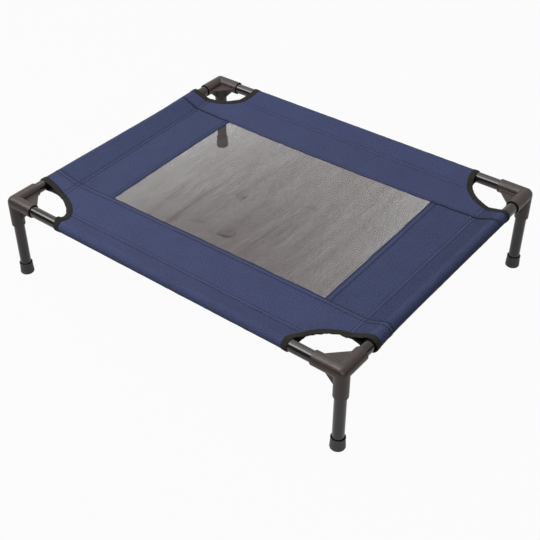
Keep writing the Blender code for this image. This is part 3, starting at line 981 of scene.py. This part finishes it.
class Nodes:
    """A node tree under construction."""

    def __init__(self, tree):
        self.tree = tree

    def add(self, kind, inputs=(), **settings):
        """A node with its settings, and its inputs by name or number: a value or another's output."""
        node = self.tree.nodes.new("ShaderNode" + kind)
        for key, value in settings.items():
            setattr(node, key, value)
        for key, value in dict(inputs).items():
            if isinstance(value, bpy.types.NodeSocket):
                self.tree.links.new(value, node.inputs[key])
            else:
                node.inputs[key].default_value = value
        return node

    def math(self, operation, one, other=0.0):
        return self.add("Math", {0: one, 1: other}, operation=operation).outputs[0]

    def times(self, one, other):
        return self.math("MULTIPLY", one, other)

    def total(self, value, *others):
        for other in others:
            value = self.math("ADD", value, other)
        return value

    def apart(self, place):
        return self.add("SeparateXYZ", {0: place}).outputs

    def scaled(self, place, *scale):
        return self.add("Mapping", {"Vector": place, "Scale": scale}).outputs[0]

    def waves(self, place, period):
        """Sine waves along X and Y."""
        along = self.apart(self.scaled(place, *(math.pi / period,) * 3))
        return [self.math("SINE", along[axis]) for axis in (0, 1)]

    def noise(self, place, scale, detail, low, high):
        """Noise whose values from 0.3 to 0.7 are spread over low to high."""
        made = self.add("TexNoise", {"Vector": place, "Scale": scale, "Detail": detail})
        return self.add("MapRange", {"Value": made.outputs[0], "From Min": 0.3, "From Max": 0.7,
                                     "To Min": low, "To Max": high}).outputs[0]

    def streaks(self, place, size_x, size_y, detail, reach):
        """Noise drawn out to the given sizes, over -reach to reach."""
        return self.noise(self.scaled(place, 1 / size_x, 1 / size_y, 1), 1.0, detail, -reach, reach)

    def seen_white(self, kind, lit, shares, output):
        """Shows a shader with white light mixed in, by a share for each kind of ray that sees it."""
        path = self.add("LightPath")
        most = 0.0
        for ray, share in shares.items():
            most = self.math("MAXIMUM", most, self.times(path.outputs[ray], share))
        white = self.add(kind, {"Color": (1, 1, 1, 1)})
        mixed = self.add("MixShader", {0: most, 1: lit, 2: white.outputs[0]})
        self.tree.links.new(mixed.outputs[0], self.tree.nodes[output].inputs["Surface"])


class Finish(Nodes):
    """A material, with even values for its shader's sockets."""

    def __init__(self, name, roughness, **even):
        self.material = bpy.data.materials.new(name)
        self.material.use_nodes = True
        super().__init__(self.material.node_tree)
        self.shader = self.tree.nodes["Principled BSDF"]
        for socket_name, value in {"Roughness": roughness, **even}.items():
            self.shader.inputs[socket_name.replace("_", " ")].default_value = value

    def cloth(self):
        """The place on the cut cloth and the painted shade, which the fabrics' meshes hold."""
        return (self.add("Attribute", attribute_name="cloth").outputs["Vector"],
                self.add("Attribute", attribute_name="crease").outputs["Fac"])

    def join(self, output, socket_name):
        self.tree.links.new(output, self.shader.inputs[socket_name])

    def tint(self, colour, factor):
        """Gives the material a colour made lighter or darker."""
        made = self.add("Mix", {"Factor": 1.0, 6: colour, 7: factor}, data_type="RGBA", blend_type="MULTIPLY")
        self.join(made.outputs[2], "Base Color")

    def bump(self, height, distance):
        self.join(self.add("Bump", {"Height": height, "Distance": distance}).outputs[0], "Normal")


SLUB = (2.2, 60)               # width and length of a thick stretch of yarn, in pitches of the weave
CLOUD_SCALE, GRAIN_SCALE = 16.0, 400.0
GRAIN_SHARE = 6                # of the cloth's grain, to its clouds


def woven(name, colour, pitch, depth, mottle, crease_shade):
    """Plain weave with uneven yarns, cloudy shading and fine grain, darkened by the painted shade that its
    mesh holds.
    """
    finish = Finish(name, 0.85, Sheen_Weight=0.02, Sheen_Roughness=0.4, Specular_IOR_Level=0.1)
    place, painted_shade_and_crease = finish.cloth()
    width, length = (share * pitch for share in SLUB)
    grain = GRAIN_SHARE * mottle
    light = finish.total(finish.streaks(place, width, length, 1.0, mottle),
                         finish.streaks(place, length, width, 1.0, mottle),
                         finish.noise(place, CLOUD_SCALE, 3.0, -mottle, mottle),
                         finish.noise(place, GRAIN_SCALE, 2.0, -grain, grain), 1.0)
    finish.tint(colour, finish.math("SUBTRACT", light, finish.times(painted_shade_and_crease, crease_shade)))
    finish.bump(finish.times(*finish.waves(place, pitch)), depth)
    return finish.material


# The mesh's threads: share of the width between holes that they fill, before what draws it denser or looser
THREAD_SHARE = 0.716
KNIT = (0.09, 0.06)            # how far that varies with the knit, across and along
# Streaks of the knit: width, length, detail, how far they draw it denser, and how dark they are
KNIT_STREAKS = [
    (0.006, 0.12, 2.0, 0.035, 0.08),
    (0.022, 0.22, 1.0, 0.035, 0.10),
    (0.0022, 0.05, 1.0, 0.030, 0.0),
]
WAVER = (1 / 60, 1 / 10, 0.00025)          # of the rows of holes: width, length, and how far it goes
HOLE_DEPTH = 0.0002
# How much the creases draw the mesh denser, and how much painted shade darkens them
CREASED_DENSER, CREASE_PAINTED_SHADE = 0.12, 0.75
# Where the mesh looks most closed, and how it opens from there: by the square along X, evenly along Y
CLOSED_X, CLOSED_Y = 0.05, -0.06
OPENING_X, OPENING_Y = 2.2, 0.458


def netting(name, colour, pitch, repeat):
    """Fine knitted mesh: threads with holes between them that vary with the knit's repeat, drawn denser and
    looser in streaks, more open towards the window's far corners, and darkened by painted shade in its
    creases."""
    finish = Finish(name, 0.8, Specular_IOR_Level=0.1)
    place, painted_shade_and_crease = finish.cloth()
    waver = finish.streaks(place, *WAVER[:2], 1.0, WAVER[2])
    wavered = finish.add("VectorMath", {0: place, 1: waver}, operation="ADD").outputs[0]

    def threads(period):
        return [finish.math("ABSOLUTE", wave) for wave in finish.waves(wavered, period)]

    hole = finish.times(*threads(pitch))
    knit = finish.total(*(finish.times(wave, share) for wave, share in zip(threads(repeat), KNIT)))
    denser = [finish.streaks(place, *sizes, reach) for *sizes, reach, _ in KNIT_STREAKS]
    shades = [finish.streaks(place, *sizes, dark) for *sizes, _, dark in KNIT_STREAKS if dark]
    share = finish.total(*denser, knit, finish.times(painted_shade_and_crease, CREASED_DENSER), THREAD_SHARE)
    across = finish.apart(place)
    off = finish.math("ABSOLUTE", finish.math("SUBTRACT", across[0], CLOSED_X))
    opened = finish.total(finish.times(finish.math("POWER", off, 2.0), OPENING_X),
                          finish.times(finish.math("SUBTRACT", across[1], CLOSED_Y), OPENING_Y))
    finish.join(finish.math("LESS_THAN", hole, finish.math("SUBTRACT", share, opened)), "Alpha")
    light = finish.total(shades[0], 1.0, *shades[1:])
    finish.tint(colour, finish.math("SUBTRACT", light, finish.times(painted_shade_and_crease, CREASE_PAINTED_SHADE)))
    finish.bump(hole, -HOLE_DEPTH)
    return finish.material


RUBBED_SCALE, GLOSS_SCALE = 45.0, 90.0
GLOSS_SPREAD = 0.12            # share of the roughness by which it varies


def coated(name, colour, roughness, grain, depth, wear, **even):
    """Painted, moulded or rubber surface: grain, uneven gloss and faint rubbed spots."""
    finish = Finish(name, roughness, **even)
    place = finish.add("TexCoord").outputs["Object"]
    spread = GLOSS_SPREAD * roughness
    finish.tint(colour, finish.total(finish.noise(place, RUBBED_SCALE, 4.0, -wear, wear), 1.0))
    finish.join(finish.total(finish.noise(place, GLOSS_SCALE, 3.0, -spread, spread), roughness), "Roughness")
    fine = finish.add("TexNoise", {"Vector": place, "Scale": 1 / grain, "Detail": 2.0})
    finish.bump(fine.outputs[0], depth)
    return finish.material


STEEL = coated("powder_coated_steel", (0.017, 0.010, 0.010, 1.0), 0.15, 0.0022, 0.000004, 0.12)
PLASTIC = coated("connector_plastic", (0.025, 0.0135, 0.0105, 1.0), 0.46, 0.0005, 0.00002, 0.10,
                 Specular_IOR_Level=0.45, Coat_Weight=0.10, Coat_Roughness=0.16)
RUBBER = coated("foot_rubber", (0.042, 0.038, 0.041, 1.0), 0.60, 0.0009, 0.00004, 0.12)
NAVY = woven("blue_fabric", srgb(65, 71, 103), 0.00055, 0.00012, 0.05, 0.80)
# A slightly darker copy of the blue fabric, for the short borders
SHORT_BORDER_NAVY = woven("blue_fabric_short_borders", srgb(62, 69, 99), 0.00055, 0.00012, 0.05, 0.80)
TAPE = woven("binding_tape", srgb(45, 43, 40), 0.0008, 0.0002, 0.08, 0.0)
MESH = netting("grey_mesh", srgb(80, 72, 71), 0.00176, 0.0045)
THREAD = coated("navy_thread", srgb(62, 67, 100), 0.6, 0.0004, 0.00005, 0.10)
# Near-black discs between the stitches: painted shade in the needles' dents
NEEDLE_SHADE = coated("needle_painted_shade", srgb(14, 15, 27), 0.9, 0.0004, 0.00005, 0.10)


# The pieces

for name in ("front", "back"):
    tube("long_rail_" + name, 0)
for name in ("left", "right"):
    tube("short_rail_" + name, 1)
connector = connector_mesh()
foot = foot_mesh()
CORNER_TURNS = {"front_left": 0, "front_right": 90, "back_right": 180, "back_left": 270}
for name, degrees in CORNER_TURNS.items():
    corner = Corner(name)
    head = Matrix.Translation(corner.point(0, 0, 0)) @ Matrix.Rotation(math.radians(degrees), 4, "Z")
    piece_of("elbow_" + name, connector, PLASTIC, ["corner_connector_" + name], head)
    tube("leg_" + name, 2)
    piece_of("cap_" + name, foot, RUBBER, ["foot_cap_" + name],
             Matrix.Translation(corner.point(0, 0, -RAIL_HEIGHT)))
    tape = fabric_mesh("tape_" + name, [binding(corner)])
    thicken(piece_of("tape_" + name, tape, TAPE, ["corner_binding_" + name]))

seam_start = len(Side("front").sleeve(0.0).stations()) - len(SEAM_TICKS)


def border(side, patches, finish, lines):
    """A border with its rows of stitches."""
    name, node = "border_" + side.name, ("long_panel_" if side.lengthwise else "short_panel_") + side.name
    piece = thicken(piece_of(name, fabric_mesh(name, patches), finish, [node]))
    stitches("stitches_" + side.name, lines)
    return piece


for side in (Side("front"), Side("back")):
    patches = long_border(side)
    along, flat = patches[:2]
    hems = row_places(side.hem_rows)
    ends = side.corners()
    lines = [line_at(along, np.s_[:, seam_start + row], [end.tape for end in ends]) for row in SEAM_ROWS]
    lines += [line_at(flat, np.s_[:, hem]) for hem in hems]
    for tab, end in zip(patches[2:], ends):
        lines += [line_at(tab, np.s_[:, hem]) for hem in hems]
        lines += [line_at(tab, np.s_[seam_start + row], (end.tape, 0.0)) for row in SEAM_ROWS]
    border(side, patches, NAVY, lines)
for side in (Side("left"), Side("right")):
    patches = short_border(side)
    hem_start = len(patches[0].crease[0]) - edge_count(side.hem_rows)
    rows = [seam_start + row for row in SEAM_ROWS] + [hem_start + hem for hem in row_places(side.hem_rows)]
    lines = [line_at(patches[0], np.s_[:, row]) for row in rows]
    border(side, patches, SHORT_BORDER_NAVY, lines)

weave = mesh_window()
window = piece_of("mesh_window", fabric_mesh("mesh_window", [weave]), MESH, ["mesh_panel"])


# Floor, light and camera

def plain(name, points, faces, finish):
    mesh = bpy.data.meshes.new(name)
    mesh.from_pydata(points, [], faces)
    mesh.materials.append(finish.material)
    return placed(name, mesh)


FLOOR_HALF = 6.0
FLOOR_SHARES = {"Is Camera Ray": 0.96, "Is Transmission Ray": 0.96, "Is Glossy Ray": 0.80}
pale = Finish("pale_floor", 0.9, Base_Color=(0.28, 0.28, 0.28, 1.0), Specular_IOR_Level=0.0)
pale.seen_white("Emission", pale.shader.outputs[0], FLOOR_SHARES, "Material Output")
square = [(FLOOR_HALF * x, FLOOR_HALF * y, 0) for x, y in ((-1, -1), (1, -1), (1, 1), (-1, 1))]
floor = plain("floor", square, [(0, 1, 2, 3)], pale)

SKY_SHARES = {"Is Camera Ray": 0.96, "Is Transmission Ray": 1.0, "Is Glossy Ray": 1.0}
world = bpy.data.worlds.new("studio")
world.use_nodes = True
sky = world.node_tree.nodes["Background"]
sky.inputs["Color"].default_value = (1, 1, 1, 1)
sky.inputs["Strength"].default_value = 0.24
Nodes(world.node_tree).seen_white("Background", sky.outputs[0], SKY_SHARES, "World Output")
bpy.context.scene.world = world


def lamp(name, place, target, size, power):
    """A soft box facing the target, its first size along the world's X."""
    data = bpy.data.lights.new(name, "AREA")
    data.shape = "RECTANGLE"
    data.size, data.size_y = size
    data.energy = power
    back = (Vector(place) - Vector(target)).normalized()
    up = back.cross(Vector((1, 0, 0))).normalized()
    placed(name, data, Matrix.Translation(place) @ Matrix((up.cross(back), up, back)).transposed().to_4x4())


lamp("overhead", (-0.7, 0.35, 2.6), (0, 0, 0.1), (2.4, 2.0), 26)
lamp("key", (-1.25, -1.25, 2.30), (0, -0.2, 0.15), (1.9, 1.2), 56)
lamp("fill", (1.50, -1.75, 1.00), (0, 0, 0.15), (0.24, 0.24), 9)

# A dark screen on the near and right sides, which only reflections see, keeps the tubes' sides deep. It
# runs from SCREEN_FROM to SCREEN_TO, in degrees from +X, and is high as far as SCREEN_HIGH_TO.
SCREEN_RADIUS = 2.65
SCREEN_LOW, SCREEN_TOP, SCREEN_HIGH_TOP = 0.05, 1.00, 1.95
SCREEN_FROM, SCREEN_HIGH_TO, SCREEN_TO = 209, 257, 401
SCREEN_STEP = 4
places, panels = [], []
for degrees in range(SCREEN_FROM, SCREEN_TO, SCREEN_STEP):
    top = SCREEN_HIGH_TOP if degrees < SCREEN_HIGH_TO else SCREEN_TOP
    near, far = (math.radians(angle) for angle in (degrees, degrees + SCREEN_STEP))
    panels.append(tuple(range(len(places), len(places) + 4)))
    for angle, height in ((near, SCREEN_LOW), (far, SCREEN_LOW), (far, top), (near, top)):
        places.append((SCREEN_RADIUS * math.cos(angle), SCREEN_RADIUS * math.sin(angle), height))
black = Finish("dark_screen", 1.0, Base_Color=(0.0, 0.0, 0.0, 1.0), Specular_IOR_Level=0.0)
screen = plain("dark_screen", places, panels, black)
screen.visible_camera = screen.visible_diffuse = screen.visible_shadow = screen.visible_transmission = False

# The camera stands where the photograph was taken from
CAMERA_PLACE = (0.938, -1.213, 1.201)
CAMERA_AZIMUTH, CAMERA_ELEVATION, CAMERA_ROLL = (math.radians(a) for a in (39.85, 38.18, -1.26))
PICTURE_SIDE = 540
FOCAL_PIXELS = 997.6
SHIFT_PIXELS = 30
camera_data = bpy.data.cameras.new("camera")
camera_data.lens = FOCAL_PIXELS / PICTURE_SIDE * camera_data.sensor_width
camera_data.shift_x = SHIFT_PIXELS / PICTURE_SIDE
ahead = Vector((-math.sin(CAMERA_AZIMUTH) * math.cos(CAMERA_ELEVATION),
                math.cos(CAMERA_AZIMUTH) * math.cos(CAMERA_ELEVATION), -math.sin(CAMERA_ELEVATION)))
level_right = ahead.cross(Vector((0, 0, 1))).normalized()
right = Matrix.Rotation(-CAMERA_ROLL, 3, ahead) @ level_right
axes = Matrix((right, right.cross(ahead), -ahead)).transposed()
bpy.context.scene.camera = placed("camera", camera_data, Matrix.Translation(CAMERA_PLACE) @ axes.to_4x4())
bpy.context.scene.view_settings.view_transform = "Standard"
